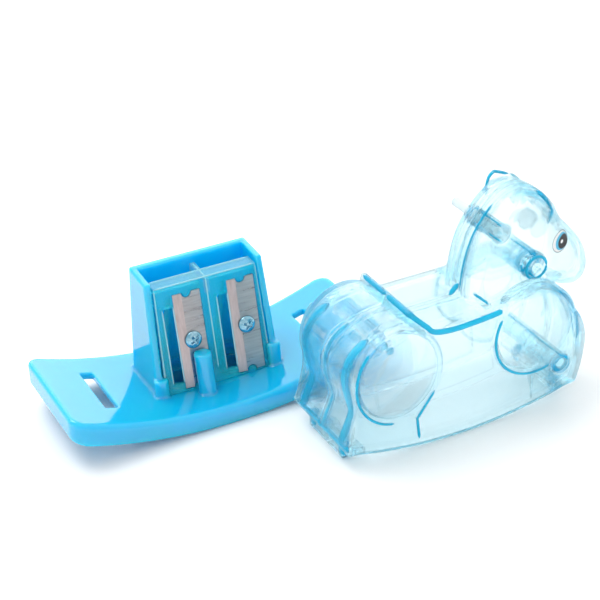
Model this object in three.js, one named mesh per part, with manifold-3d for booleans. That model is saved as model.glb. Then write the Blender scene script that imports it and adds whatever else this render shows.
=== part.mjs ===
// Two-hole manual pencil sharpener in the form of a rocking horse, taken apart:
// a rocker base with housing, cutter insert, two blades and screws, and the
// hollow two-part horse shell set down beside it. Millimetres, +Z up, +X along
// the rocker, origin at the middle of the rocker's underside.
import * as THREE from 'three';
import { mergeVertices } from 'three/addons/utils/BufferGeometryUtils.js';
import Module from 'manifold-3d';

const wasm = await Module();
wasm.setup();

// ---- driving dimensions -------------------------------------------------
const GAP = 0.3;                 // clearance between neighbouring pieces
const ROCKER_LENGTH = 83;
const ROCKER_WIDTH = 34;
const ROCKER_CORNER = 4;
const ROCKER_DEPTH = 5;          // rim depth, top skin to bottom edge
const ROCKER_TOP_RADIUS = 111;
const ROCKER_FOOT_RADIUS = 126;  // the rim's bottom edge is flatter than the top
const ROCKER_SKIN = 1.8;
const SLOT_X = 29;
const SLOT_WIDTH = 3.2;
const SLOT_LENGTH = 16.8;

const HOUSE_HALF = 16.5;         // half width at the foot
const HOUSE_TOP_HALF = 15.4;
const HOUSE_BACK = 9.7;
const HOUSE_TOP = 34.1;
const HOUSE_WALL = 1.8;
const FRONT_FOOT_Y = -6.3;
const LEAN = THREE.MathUtils.degToRad(12);

const HOLE_PITCH = 14.2;
const HOLE_X0 = -8.35;
const HOLE_Y = -0.3;
const HOLE_RADIUS = 4.3;
const INSERT_FOOT = 5.4;
const INSERT_TOP = 32.2;
const INSERT_HALF = 14.3;
const CONE_START = 7.4;

const BLADE_LENGTH = 24;
const BLADE_WIDTH = 7;
const BLADE_THICK = 0.5;
const BLADE_X0 = -5.3;
const BLADE_Z = 17.7;
const SCREW_HEAD_RADIUS = 2.25;
const SCREW_SHANK_RADIUS = 0.95;

const SHELL_X = 43.8;            // where the shell stands beside the base
const SHELL_Y = -34.6;
const SHELL_HALF = 12.6;
const SHELL_WALL = 1.6;
const SHELL_END = 31.4;
const DISC_FACE = 15;
const THIGH = { x: -18, z: 21.6, across: 11.4, tall: 12.2 };
const SHOULDER = { x: 19.1, z: 22.6, across: 11.5, tall: 11.5 };
const NECK_HALF = 7.2;
const TAB_WIDTH = 16.2;
const TAB_THICK = 2.6;
const TAB_DROP = 3.6;
const ROD_X = 13.2;
const ROD_Z = 46.2;
const ROD_RADIUS = 1.15;
const BOSS_X = 22;
const BOSS_Z = 36;
const REAR_PIN = { x: -18.2, z: 26.4 };
const FRONT_PIN = { x: 28, z: 9.8 };

// ---- helpers ------------------------------------------------------------
function solid(geometry) {
  const g = geometry.clone();
  for (const key of Object.keys(g.attributes)) {
    if (key !== 'position') g.deleteAttribute(key);
  }
  const merged = mergeVertices(g, 1e-5);
  const mesh = new wasm.Mesh({
    numProp: 3,
    vertProperties: Float32Array.from(merged.attributes.position.array),
    triVerts: Uint32Array.from(merged.index.array),
  });
  return new wasm.Manifold(mesh);
}

function geometryOf(manifold) {
  const mesh = manifold.getMesh();
  const g = new THREE.BufferGeometry();
  g.setAttribute('position', new THREE.BufferAttribute(mesh.vertProperties, 3));
  g.setIndex(new THREE.BufferAttribute(mesh.triVerts, 1));
  g.computeVertexNormals();
  return g;
}

function union(parts) {
  return parts.reduce((sum, part) => sum.add(part));
}

function box(x0, x1, y0, y1, z0, z1) {
  const g = new THREE.BoxGeometry(x1 - x0, y1 - y0, z1 - z0);
  return solid(g.translate((x0 + x1) / 2, (y0 + y1) / 2, (z0 + z1) / 2));
}

// A side outline in X and Z, swept from y0 to y1.
function sweepY(shape, y0, y1, curveSegments = 8) {
  const g = new THREE.ExtrudeGeometry(shape, { depth: y1 - y0, bevelEnabled: false, curveSegments });
  return solid(g.rotateX(Math.PI / 2).translate(0, y1, 0));
}

// An outline in Y and Z, swept from x0 to x1.
function sweepX(shape, x0, x1, curveSegments = 8) {
  const g = new THREE.ExtrudeGeometry(shape, { depth: x1 - x0, bevelEnabled: false, curveSegments });
  const turn = new THREE.Matrix4().makeBasis(
    new THREE.Vector3(0, 1, 0), new THREE.Vector3(0, 0, 1), new THREE.Vector3(1, 0, 0));
  return solid(g.applyMatrix4(turn).translate(x0, 0, 0));
}

function cylinderY(radius, x, z, y0, y1, segments = 20) {
  const g = new THREE.CylinderGeometry(radius, radius, y1 - y0, segments);
  return solid(g.translate(x, (y0 + y1) / 2, z));
}

function cylinderZ(radius, x, y, z0, z1, segments = 24) {
  const g = new THREE.CylinderGeometry(radius, radius, z1 - z0, segments);
  return solid(g.rotateX(Math.PI / 2).translate(x, y, (z0 + z1) / 2));
}

function outline(points) {
  return new THREE.Shape(points.map(([u, v]) => new THREE.Vector2(u, v)));
}

// Moves every point of a closed outline inward by a distance.
function shrink(points, distance) {
  const flip = THREE.ShapeUtils.area(points) > 0 ? 1 : -1;
  return points.map((p, i) => {
    const before = points[(i + points.length - 1) % points.length];
    const after = points[(i + 1) % points.length];
    const a = p.clone().sub(before).normalize();
    const b = after.clone().sub(p).normalize();
    const inward = new THREE.Vector2(-(a.y + b.y), a.x + b.x).normalize().multiplyScalar(flip);
    const reach = distance / Math.max(0.5, Math.sqrt((1 + a.dot(b)) / 2));
    return p.clone().addScaledVector(inward, reach);
  });
}

function sampled(shape, divisions) {
  const points = shape.getPoints(divisions);
  if (points[0].distanceTo(points[points.length - 1]) < 1e-6) points.pop();
  return points;
}

function named(name, geometry, color, extra = {}) {
  const material = new THREE.MeshStandardMaterial({ color, roughness: 0.25, metalness: 0, ...extra });
  const mesh = new THREE.Mesh(geometry, material);
  mesh.name = name;
  return mesh;
}

// ---- rocker base --------------------------------------------------------
function arcBand(lower, upper, half) {
  // Band between two heights that both curve up to the ends. The odd number of
  // facets leaves one flat strip under the middle.
  const facets = 19;
  const xs = Array.from({ length: facets + 1 }, (_, i) => -half + (2 * half * i) / facets);
  const flat = xs[(facets + 1) / 2];
  const rise = (x, radius) => (x * x - flat * flat) / (2 * radius);
  const bottom = xs.map((x) => [x, lower + rise(x, ROCKER_FOOT_RADIUS)]);
  const top = xs.map((x) => [x, upper + rise(x, ROCKER_TOP_RADIUS)]);
  return outline([...bottom, ...top.reverse()]);
}

function roundedPlan(halfX, halfY, radius) {
  const s = new THREE.Shape();
  s.moveTo(-halfX + radius, -halfY);
  s.lineTo(halfX - radius, -halfY);
  s.absarc(halfX - radius, -halfY + radius, radius, -Math.PI / 2, 0, false);
  s.lineTo(halfX, halfY - radius);
  s.absarc(halfX - radius, halfY - radius, radius, 0, Math.PI / 2, false);
  s.lineTo(-halfX + radius, halfY);
  s.absarc(-halfX + radius, halfY - radius, radius, Math.PI / 2, Math.PI, false);
  s.lineTo(-halfX, -halfY + radius);
  s.absarc(-halfX + radius, -halfY + radius, radius, Math.PI, 1.5 * Math.PI, false);
  return s;
}

function planSolid(halfX, halfY, radius, z0, z1) {
  const g = new THREE.ExtrudeGeometry(roundedPlan(halfX, halfY, radius),
    { depth: z1 - z0, bevelEnabled: false, curveSegments: 5 });
  return solid(g.translate(0, 0, z0));
}

function taperedX(geometrySolid, z0, z1, topScale) {
  return geometrySolid.warp((v) => {
    const t = Math.min(Math.max((v[2] - z0) / (z1 - z0), 0), 1);
    v[0] *= 1 + (topScale - 1) * t;
  });
}

function frontY(z) {
  return FRONT_FOOT_Y + (z - ROCKER_DEPTH) * Math.tan(LEAN);
}

function houseWalls() {
  const side = outline([
    [HOUSE_BACK, 4], [HOUSE_BACK - 0.2, HOUSE_TOP], [frontY(HOUSE_TOP - 0.6), HOUSE_TOP - 0.6],
    [frontY(ROCKER_DEPTH), ROCKER_DEPTH], [frontY(ROCKER_DEPTH), 4],
  ]);
  const inner = outline([
    [HOUSE_BACK - HOUSE_WALL, ROCKER_DEPTH], [HOUSE_BACK - HOUSE_WALL - 0.2, HOUSE_TOP + 2],
    [-20, HOUSE_TOP + 2], [-20, ROCKER_DEPTH],
  ]);
  const narrowing = HOUSE_TOP_HALF / HOUSE_HALF;
  const outer = taperedX(sweepX(side, -HOUSE_HALF, HOUSE_HALF), 4, HOUSE_TOP, narrowing);
  const insideHalf = HOUSE_HALF - HOUSE_WALL;
  const hollow = taperedX(sweepX(inner, -insideHalf, insideHalf), 4, HOUSE_TOP, narrowing);
  return outer.subtract(hollow);
}

function post(x, radius, height, y) {
  const g = new THREE.CylinderGeometry(radius, radius, height, 16);
  g.rotateX(Math.PI / 2).translate(0, 0, height / 2).rotateX(-LEAN).translate(x, y, ROCKER_DEPTH - 1);
  return solid(g);
}

function rockerBase() {
  const length = ROCKER_LENGTH / 2;
  const band = sweepY(arcBand(0, ROCKER_DEPTH, length), -ROCKER_WIDTH, ROCKER_WIDTH);
  const plan = planSolid(length, ROCKER_WIDTH / 2, ROCKER_CORNER, -2, 20);
  let body = band.intersect(plan);
  const under = sweepY(arcBand(-6, ROCKER_DEPTH - ROCKER_SKIN, length - ROCKER_SKIN),
    -ROCKER_WIDTH / 2 + ROCKER_SKIN, ROCKER_WIDTH / 2 - ROCKER_SKIN);
  const innerPlan = planSolid(length - ROCKER_SKIN, ROCKER_WIDTH / 2 - ROCKER_SKIN,
    ROCKER_CORNER - ROCKER_SKIN, -8, 20);
  const middle = box(-HOUSE_HALF - 0.5, HOUSE_HALF + 0.5, -20, 20, -10, 30);
  body = body.subtract(under.intersect(innerPlan).subtract(middle));
  const leftPost = box(-HOUSE_HALF, -HOUSE_HALF + 3.2, FRONT_FOOT_Y - 1.3, FRONT_FOOT_Y + 0.8, 4.2, 10.2);
  const rightPost = box(HOUSE_HALF - 3.4, HOUSE_HALF, FRONT_FOOT_Y - 1.3, FRONT_FOOT_Y + 0.9, 4.2, 11.4);
  body = union([body, houseWalls(), leftPost, rightPost, post(-4.2, 2.15, 11.2, FRONT_FOOT_Y - 1.9)]);
  const wedge = insertEnvelope(GAP);
  body = body.subtract(wedge);
  for (const side of [-1, 1]) {
    const x = side * SLOT_X;
    body = body.subtract(box(x - SLOT_WIDTH / 2, x + SLOT_WIDTH / 2,
      -SLOT_LENGTH / 2, SLOT_LENGTH / 2, -2, 20));
  }
  for (const i of [0, 1]) {
    body = body.subtract(cylinderZ(HOLE_RADIUS + 0.2, HOLE_X0 + i * HOLE_PITCH, HOLE_Y, -3, 6.5));
  }
  return body;
}

// ---- cutter insert ------------------------------------------------------
function insertEnvelope(extra) {
  const low = INSERT_FOOT - extra;
  const high = INSERT_TOP + extra;
  const back = HOUSE_BACK - HOUSE_WALL - 0.5 + extra / 3;
  const side = outline([
    [frontY(INSERT_FOOT) - extra, low], [back, low], [back - 0.2, high], [frontY(INSERT_TOP) - extra, high],
  ]);
  const half = INSERT_HALF + extra / 2;
  return taperedX(sweepX(side, -half, half), 4, HOUSE_TOP, HOUSE_TOP_HALF / HOUSE_HALF);
}

function bladeFrame(i, along, out) {
  // A point on blade i's plane: "along" up the lean, "out" in front of it.
  const y = frontY(BLADE_Z);
  return new THREE.Vector3(
    BLADE_X0 + i * HOLE_PITCH,
    y + along * Math.sin(LEAN) - out * Math.cos(LEAN),
    BLADE_Z + along * Math.cos(LEAN) + out * Math.sin(LEAN));
}

function leaned(geometry, i, along, out) {
  const at = bladeFrame(i, along, out);
  return geometry.rotateX(Math.PI / 2 - LEAN).translate(at.x, at.y, at.z);
}

function coneSolid(i, radius, tipRadius, z0, z1, segments = 24) {
  const g = new THREE.CylinderGeometry(tipRadius, radius, z1 - z0, segments);
  return solid(g.rotateX(Math.PI / 2).translate(HOLE_X0 + i * HOLE_PITCH, HOLE_Y, (z0 + z1) / 2));
}

function sharpenerInsert() {
  const envelope = insertEnvelope(0);
  const back = HOUSE_BACK - HOUSE_WALL - 0.5;
  const parts = [
    box(-20, 20, -20, back, INSERT_FOOT, CONE_START + 0.6),
    box(-20, 20, -20, 3.4, INSERT_TOP - 2.4, INSERT_TOP),
    box(-0.7, 0.7, -20, back, INSERT_FOOT, INSERT_TOP),
    box(-INSERT_HALF, -INSERT_HALF + 1.3, -20, 2, INSERT_FOOT, INSERT_TOP),
    box(INSERT_HALF - 2.2, INSERT_HALF, -20, 2, INSERT_FOOT, INSERT_TOP),
  ];
  const slab = outline([
    [frontY(INSERT_FOOT), INSERT_FOOT], [frontY(INSERT_FOOT) + 2.9, INSERT_FOOT],
    [frontY(INSERT_TOP) + 2.9, INSERT_TOP], [frontY(INSERT_TOP), INSERT_TOP],
  ]);
  parts.push(sweepX(slab, -INSERT_HALF, INSERT_HALF));
  for (const i of [0, 1]) {
    parts.push(coneSolid(i, HOLE_RADIUS + 1.5, 1.7, INSERT_FOOT, 29));
    const at = bladeFrame(i, 0, 0);
    parts.push(box(at.x - 2.2, at.x + 2.2, at.y, at.y + 5.2, at.z - 2.6, at.z + 3.4));
  }
  let body = union(parts).intersect(envelope);
  for (const i of [0, 1]) {
    const tipRise = (HOLE_RADIUS - 0.4) / Math.tan(LEAN);
    body = body.subtract(coneSolid(i, HOLE_RADIUS, 0.4, CONE_START, CONE_START + tipRise));
    body = body.subtract(coneSolid(i, HOLE_RADIUS, HOLE_RADIUS, 3, CONE_START + 0.01));
    // Recess that holds the blade, and the open window where shavings leave.
    const recess = new THREE.BoxGeometry(BLADE_WIDTH + 0.6, BLADE_LENGTH + 0.8, 2);
    body = body.subtract(solid(leaned(recess, i, 0, 0.1)));
    const window = new THREE.BoxGeometry(3.6, BLADE_LENGTH - 4.5, 6);
    window.translate(-BLADE_WIDTH / 2 - 1.3, 0, 0);
    body = body.subtract(solid(leaned(window, i, -0.6, 0)));
    const pilot = new THREE.CylinderGeometry(SCREW_SHANK_RADIUS + GAP, SCREW_SHANK_RADIUS + GAP, 10, 14);
    body = body.subtract(solid(leaned(pilot.rotateX(Math.PI / 2), i, 0, -1.4)));
  }
  return body;
}

// ---- blades and screws --------------------------------------------------
function bladeGeometry(i) {
  const w = BLADE_WIDTH / 2;
  const h = BLADE_LENGTH / 2;
  const notch = 1.25;
  const s = new THREE.Shape();
  s.moveTo(-w, -h);
  s.lineTo(-notch, -h);
  s.absarc(0, -h, notch, Math.PI, 0, true);
  s.lineTo(w, -h);
  s.lineTo(w, h);
  s.lineTo(notch, h);
  s.absarc(0, h, notch, 0, -Math.PI, true);
  s.lineTo(-w, h);
  s.closePath();
  const hole = new THREE.Path();
  hole.absarc(0, 0, SCREW_SHANK_RADIUS + GAP + 0.05, 0, 2 * Math.PI, true);
  s.holes.push(hole);
  const g = new THREE.ExtrudeGeometry(s, { depth: BLADE_THICK, bevelEnabled: false, curveSegments: 7 });
  let body = solid(g);
  // Ground bevel along the cutting edge on the left.
  const bevel = new THREE.BoxGeometry(4, BLADE_LENGTH + 2, 1).translate(-2, 0, 0.5);
  bevel.rotateY(-Math.atan2(BLADE_THICK - 0.1, 2.2)).translate(-w + 2.2, 0, BLADE_THICK);
  body = body.subtract(solid(bevel));
  return leaned(geometryOf(body), i, 0, -0.55);
}

function screwGeometry(i) {
  const profile = [
    [0, -3.2], [SCREW_SHANK_RADIUS, -3.2], [SCREW_SHANK_RADIUS, 0.3], [SCREW_HEAD_RADIUS, 0.3],
    [SCREW_HEAD_RADIUS, 0.6], [SCREW_HEAD_RADIUS * 0.8, 1.1], [SCREW_HEAD_RADIUS * 0.4, 1.35], [0, 1.4],
  ].map(([r, h]) => new THREE.Vector2(r, h));
  const g = new THREE.LatheGeometry(profile, 18);
  const turned = g.rotateX(Math.PI / 2);
  return geometryOf(solid(leaned(turned, i, 0, -0.05)));
}

// ---- horse shell --------------------------------------------------------
function skirtZ(x) {
  return (x * x) / (2 * ROCKER_TOP_RADIUS);
}

function torsoShape(cantle = true) {
  const s = new THREE.Shape();
  const e = SHELL_END;
  s.moveTo(-e, skirtZ(e));
  s.bezierCurveTo(-e - 1.6, 7, -e + 1.5, 10, -e + 2.2, 14);
  s.bezierCurveTo(-e + 1.4, 18, -e + 0.2, 20, -e + 0.3, 24);
  s.bezierCurveTo(-e + 0.9, 30, -e + 7, 32.8, -15.2, 33.4);
  if (cantle) {
    s.lineTo(-14.3, 35.8);
    s.lineTo(-12.9, 35.8);
    s.quadraticCurveTo(-10.4, 31, -8.6, 30.6);
  } else {
    s.lineTo(-8.6, 30.6);
  }
  s.lineTo(6, 30.6);
  s.lineTo(24, 31);
  s.bezierCurveTo(29, 29.5, 33, 23.5, e + 2.4, 17);
  s.bezierCurveTo(e + 2.4, 11, e + 1, 8, e, skirtZ(e));
  for (let x = e - 7; x > -e; x -= 7) s.lineTo(x, skirtZ(x));
  s.closePath();
  return s;
}

function neckShape() {
  const s = new THREE.Shape();
  s.moveTo(5.2, 24);
  s.lineTo(4.6, 31);
  s.bezierCurveTo(5.2, 40, 7, 46, 12, 51);
  s.bezierCurveTo(15, 54.4, 18, 55.4, 21.6, 54.6);
  s.bezierCurveTo(25.5, 52.5, 29, 49.6, 31.4, 45);
  s.bezierCurveTo(35, 41, 40, 37, 40.7, 31);
  s.bezierCurveTo(40.9, 26.9, 38.4, 24.9, 35.4, 25.2);
  s.quadraticCurveTo(32.4, 25.8, 30.4, 27.8);
  s.lineTo(29, 22);
  s.closePath();
  return s;
}

function earShape() {
  const s = new THREE.Shape();
  s.moveTo(16.2, 50.5);
  s.quadraticCurveTo(15.4, 56.2, 18.2, 56.8);
  s.quadraticCurveTo(25.6, 54.6, 27.6, 48.4);
  s.lineTo(26.4, 45.4);
  s.lineTo(20, 46);
  s.closePath();
  return s;
}

function legShape(front) {
  const s = new THREE.Shape();
  const e = SHELL_END;
  if (front) {
    s.moveTo(18.8, skirtZ(18.8) + 1.6);
    s.lineTo(e, skirtZ(e));
    s.quadraticCurveTo(e + 2.2, 10, e + 2.3, 17);
    s.quadraticCurveTo(e + 1.4, 22, e - 1, 25);
    s.lineTo(SHOULDER.x, SHOULDER.z);
    s.lineTo(18, 12);
  } else {
    s.moveTo(-e, skirtZ(e));
    s.lineTo(-12.6, skirtZ(12.6) + 1.8);
    s.lineTo(-13.4, 9);
    s.lineTo(-8.6, 15.2);
    s.lineTo(THIGH.x, THIGH.z);
    s.lineTo(-e + 2.4, 20);
    s.lineTo(-e + 2.3, 14);
  }
  s.closePath();
  return s;
}

// A round thigh or shoulder, standing out from one flank.
function disc(place, side, inset) {
  const r = place.across - inset;
  const face = DISC_FACE - inset;
  const profile = [[0, 8], [r, 8], [r, face - 2], [r * 0.88, face - 0.8], [r * 0.6, face - 0.2], [0, face]];
  const g = new THREE.LatheGeometry(profile.map(([a, b]) => new THREE.Vector2(a, b)), 28);
  if (side < 0) g.rotateX(Math.PI);
  g.scale(1, 1, (place.tall - inset) / r);
  return solid(g.translate(place.x, 0, place.z));
}

function shrunk(shape, distance, divisions) {
  return new THREE.Shape(shrink(sampled(shape, divisions), distance));
}

// The neck and head are thickest in the middle: three steps round the section.
function neckSolid(inset) {
  const steps = [[NECK_HALF, 2.4], [NECK_HALF - 1.2, 0.9], [NECK_HALF - 2.6, 0]];
  return union(steps.map(([half, round]) => {
    const shape = shrunk(neckShape(), inset + round, 5);
    return sweepY(shape, -half + inset, half - inset);
  }));
}

function shellOuter() {
  const parts = [sweepY(shrunk(torsoShape(), 0, 5), -SHELL_HALF, SHELL_HALF), neckSolid(0)];
  for (const side of [-1, 1]) {
    parts.push(disc(THIGH, side, 0), disc(SHOULDER, side, 0));
    const inner = SHELL_HALF - 0.5;
    const face = SHELL_HALF + 1;
    const ear = [side * 4.2, side * 6.2].sort((a, b) => a - b);
    const leg = [side * inner, side * face].sort((a, b) => a - b);
    parts.push(sweepY(earShape(), ear[0], ear[1]));
    parts.push(sweepY(legShape(true), leg[0], leg[1]), sweepY(legShape(false), leg[0], leg[1]));
  }
  return union(parts);
}

function shellInner() {
  const reach = SHELL_HALF - SHELL_WALL;
  const parts = [sweepY(shrunk(torsoShape(false), SHELL_WALL, 5), -reach, reach), neckSolid(SHELL_WALL)];
  for (const side of [-1, 1]) {
    parts.push(disc(THIGH, side, SHELL_WALL), disc(SHOULDER, side, SHELL_WALL));
  }
  parts.push(box(-26.4, 26.4, -reach, reach, -8, 12));
  return union(parts);
}

function tab(side) {
  const x = side * SLOT_X;
  const top = skirtZ(SLOT_X);
  return box(x - TAB_THICK / 2, x + TAB_THICK / 2, -TAB_WIDTH / 2, TAB_WIDTH / 2, top - TAB_DROP, top + 1.4);
}

function shellWhole() {
  let body = union([shellOuter().subtract(shellInner()), tab(-1), tab(1)]);
  const boss = cylinderY(3.2, BOSS_X, BOSS_Z, -NECK_HALF - 0.9, NECK_HALF - 0.6, 18);
  body = body.add(boss).subtract(cylinderY(1.2, BOSS_X, BOSS_Z, -20, NECK_HALF - 1.4, 14));
  const grip = cylinderY(2.3, ROD_X, ROD_Z, -NECK_HALF + 1, NECK_HALF - 1, 16);
  body = body.add(grip);
  body = body.subtract(cylinderY(ROD_RADIUS + GAP, ROD_X, ROD_Z, -NECK_HALF + 2.6, 20, 16));
  return body;
}

// The right half carries one socket. The left half carries both pins.
function rightHalf() {
  const cut = GAP / 2;
  const { x, z } = FRONT_PIN;
  const half = shellWhole().intersect(box(-60, 60, -40, -cut, -20, 80));
  const socket = cylinderY(2.5, x, z, -SHELL_HALF + 0.8, -cut, 16);
  return half.add(socket).subtract(cylinderY(1.2 + GAP, x, z, -SHELL_HALF + 3, 1, 14));
}

function leftHalf() {
  const cut = GAP / 2;
  const half = shellWhole().intersect(box(-60, 60, cut, 40, -20, 80));
  const front = cylinderY(2.5, FRONT_PIN.x, FRONT_PIN.z, cut, SHELL_HALF - 0.8, 16);
  const frontPin = cylinderY(1.2, FRONT_PIN.x, FRONT_PIN.z, -6, 1, 14);
  const rear = cylinderY(2.1, REAR_PIN.x, REAR_PIN.z, -4, DISC_FACE - 1.1, 16);
  const rearPin = cylinderY(1, REAR_PIN.x, REAR_PIN.z, -9.5, -3.9, 14);
  return union([half, front, frontPin, rear, rearPin]);
}

// ---- assembly -----------------------------------------------------------
const group = new THREE.Group();
const SKY = 0x7cc9f4;
const CLEAR = 0xbfeaf7;
const steel = { roughness: 0.3, metalness: 0.9 };

const base = new THREE.Group();
base.add(named('rocker_base', geometryOf(rockerBase()), SKY));
const tinted = { transparent: true, opacity: 0.5 };
base.add(named('sharpener_insert', geometryOf(sharpenerInsert()), 0x4ab8ea, tinted));
base.add(named('blade_left', bladeGeometry(0), 0xb9b4b4, steel));
base.add(named('blade_right', bladeGeometry(1), 0xb9b4b4, steel));
base.add(named('blade_screw_left', screwGeometry(0), 0x9fb4c4, steel));
base.add(named('blade_screw_right', screwGeometry(1), 0x9fb4c4, steel));
group.add(base);

const shell = new THREE.Group();
shell.position.set(SHELL_X, SHELL_Y, 0);
const clear = { transparent: true, opacity: 0.35 };
shell.add(named('shell_right_half', geometryOf(rightHalf()), CLEAR, clear));
shell.add(named('shell_left_half', geometryOf(leftHalf()), CLEAR, clear));
const rod = new THREE.CylinderGeometry(ROD_RADIUS, ROD_RADIUS, NECK_HALF + 10.2, 16);
rod.translate(ROD_X, (-NECK_HALF + 3.5 + 13.9) / 2, ROD_Z);
shell.add(named('handle_rod', rod, 0xeaf4f6));
group.add(shell);

export default group;
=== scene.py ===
# Rocking horse pencil sharpener, taken apart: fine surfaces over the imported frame.
import math
import bpy
import numpy as np
from mathutils import Matrix, Vector


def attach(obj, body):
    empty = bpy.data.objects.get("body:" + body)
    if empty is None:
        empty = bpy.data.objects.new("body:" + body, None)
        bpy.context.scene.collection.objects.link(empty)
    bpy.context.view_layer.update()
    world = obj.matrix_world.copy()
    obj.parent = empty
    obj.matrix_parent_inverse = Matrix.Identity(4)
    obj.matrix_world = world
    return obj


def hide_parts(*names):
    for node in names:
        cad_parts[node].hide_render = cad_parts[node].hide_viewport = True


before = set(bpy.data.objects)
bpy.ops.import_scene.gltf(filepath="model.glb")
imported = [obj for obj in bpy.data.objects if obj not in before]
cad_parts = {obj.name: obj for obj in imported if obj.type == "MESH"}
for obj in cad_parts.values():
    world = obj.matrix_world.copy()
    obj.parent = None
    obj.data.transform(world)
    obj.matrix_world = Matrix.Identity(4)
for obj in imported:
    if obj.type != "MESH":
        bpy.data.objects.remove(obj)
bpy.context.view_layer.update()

MM = 0.001

# ---- dimensions in millimetres, from the CAD: a few faces lie just inside its own --
SHELL_AT = np.array([43.8, -34.6, 0.0])
ROCKER_R = 111.0
ROCKER_HALF_X = 41.5
ROCKER_HALF_Y = 17
ROCKER_CORNER = 4
PLATE_CENTRE_Z = 113.5                # the rocker's upper face is an arc about this height
PLATE_TOP_R = 108.5
PLATE_UNDER_R = 110.3
FOOT_CENTRE_Z = 126.05                # its underside is a wider arc
FOOT_R = 126
RIM = 1.8
HOLLOW_FROM_X = 17
HOUSE_FOOT_HALF = 16.5
HOUSE_TOP_HALF = 15.4
HOUSE_WALL = 1.8
HOUSE_TOP = 34.1
HOUSE_BACK = 9.7
SLOT_X = 29
SLOT_HALF = (1.6, 8.4)
LEAN = math.radians(12)
FRONT_FOOT = -6.3
INSERT_FOOT = 5.4
INSERT_TOP = 32.1
INSERT_HALF = 14.3
RIB_X = 0.1
HOLE_X = (-8.35, 5.85)
HOLE_Y = -0.3
HOLE_R = 4.3
BLADE_X = (-5.3, 8.9)
BLADE_Z = 17.7
BLADE_HALF = 3.5
BLADE_END = 12                        # half of the blade's length
THIGH = (-18, 21.6, 11.4, 12.2)       # centre x and z, half width and half height
SHOULDER = (19.1, 22.6, 11.5, 11.5)
FRONT_PIN = (28, 9.8)
REAR_PIN = (-18.2, 26.4)
HEAD_BOSS = (22, 36)
ROD = (13.2, 46.2)
SHELL_END = 31.4
SHELL_HALF = 12.6
LEG_FACE = 13.55
EAR_Y = 5.2
WALL = 1.4
TAB_HALF = (1.3, 8.1)
EYE = (29.2, 40.5)


# ---- distance fields and their surfaces -------------------------------------------
class Grid:
    """Sample points of a box, and the surface where a field on them crosses zero."""

    def __init__(self, lo, hi, step):
        self.lo, self.step = np.array(lo, float), step
        n = np.ceil((np.array(hi) - self.lo) / step).astype(int) + 1
        ax = [self.lo[i] + step * np.arange(n[i]) for i in range(3)]
        self.X = ax[0][:, None, None]
        self.Y = ax[1][None, :, None]
        self.Z = ax[2][None, None, :]
        self.shape = tuple(n)

    def surface(self, field):
        F = np.ascontiguousarray(np.broadcast_to(field, self.shape)).astype(np.float32)
        F[[0, -1]] = F[:, [0, -1]] = F[:, :, [0, -1]] = np.float32(self.step)
        F[F == 0] = 1e-6
        neg = F < 0
        total = np.zeros(tuple(s - 1 for s in F.shape), np.uint8)
        corners = [(i, j, k) for i in (0, 1) for j in (0, 1) for k in (0, 1)]

        def at(a, i, j, k):
            return a[i:a.shape[0] - 1 + i, j:a.shape[1] - 1 + j, k:a.shape[2] - 1 + k]

        for c in corners:
            total += at(neg, *c)
        mask = (total > 0) & (total < 8)
        cell = np.argwhere(mask)
        ids = np.full(mask.shape, -1, np.int64)
        ids[mask] = np.arange(len(cell))
        acc, hits = np.zeros((len(cell), 3)), np.zeros(len(cell))
        for a in corners:
            for axis in range(3):
                if a[axis]:
                    continue
                b = list(a)
                b[axis] = 1
                fa = F[tuple((cell + a).T)]
                fb = F[tuple((cell + b).T)]
                cross = (fa < 0) != (fb < 0)
                t = np.where(cross, fa / np.where(cross, fa - fb, 1), 0)
                p = np.tile(np.array(a, float), (len(cell), 1))
                p[:, axis] += t
                acc += p * cross[:, None]
                hits += cross
        verts = cell + acc / hits[:, None]
        verts = self._settle(F, verts)
        faces = []
        for axis in range(3):
            u, v = (axis + 1) % 3, (axis + 2) % 3
            lo = [slice(None)] * 3
            hi = [slice(None)] * 3
            lo[axis], hi[axis] = slice(0, -1), slice(1, None)
            for s in (u, v):
                lo[s] = hi[s] = slice(1, -1)
            change = neg[tuple(lo)] != neg[tuple(hi)]
            e = np.argwhere(change)
            e[:, u] += 1
            e[:, v] += 1
            out = neg[tuple(e.T)]
            ring = []
            for du, dv in ((-1, -1), (0, -1), (0, 0), (-1, 0)):
                q = e.copy()
                q[:, u] += du
                q[:, v] += dv
                ring.append(ids[tuple(q.T)])
            ring = np.stack(ring, 1)
            ring[~out] = ring[~out][:, ::-1]
            faces.append(ring)
        return self.lo + verts * self.step, np.concatenate(faces)

    def _settle(self, F, v):
        """Two short steps onto the true surface, so flats are flat and curves even."""
        top = np.array(F.shape) - 1.001
        start = v.copy()
        for _ in range(2):
            i = np.clip(v, 0, top).astype(int)
            f = np.clip(v, 0, top) - i
            c = {}
            for a in ((x, y, z) for x in (0, 1) for y in (0, 1) for z in (0, 1)):
                c[a] = F[tuple((i + a).T)]
            wx, wy, wz = f.T

            def mix(axis=None):
                w = [np.stack([1 - s, s]) for s in (wx, wy, wz)]
                if axis is not None:
                    w[axis] = np.stack([-np.ones_like(wx), np.ones_like(wx)])
                return sum(c[a] * w[0][a[0]] * w[1][a[1]] * w[2][a[2]] for a in c)

            g = np.stack([mix(0), mix(1), mix(2)], 1)
            gg = np.maximum((g * g).sum(1), (0.35 * self.step) ** 2)
            v = v - (mix() / gg)[:, None] * g * 0.8
            v = start + np.clip(v - start, -0.35, 0.35)
        return v


def rounded(a, b, r):
    """Intersection of two fields with a rounded edge."""
    a, b = a + r, b + r
    return np.minimum(np.maximum(a, b), 0) + np.hypot(np.maximum(a, 0), np.maximum(b, 0)) - r


def blend(a, b, k):
    """Union of two fields with a fillet of about k."""
    h = np.clip(0.5 + 0.5 * (b - a) / k, 0, 1)
    return b + (a - b) * h - k * h * (1 - h)


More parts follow.
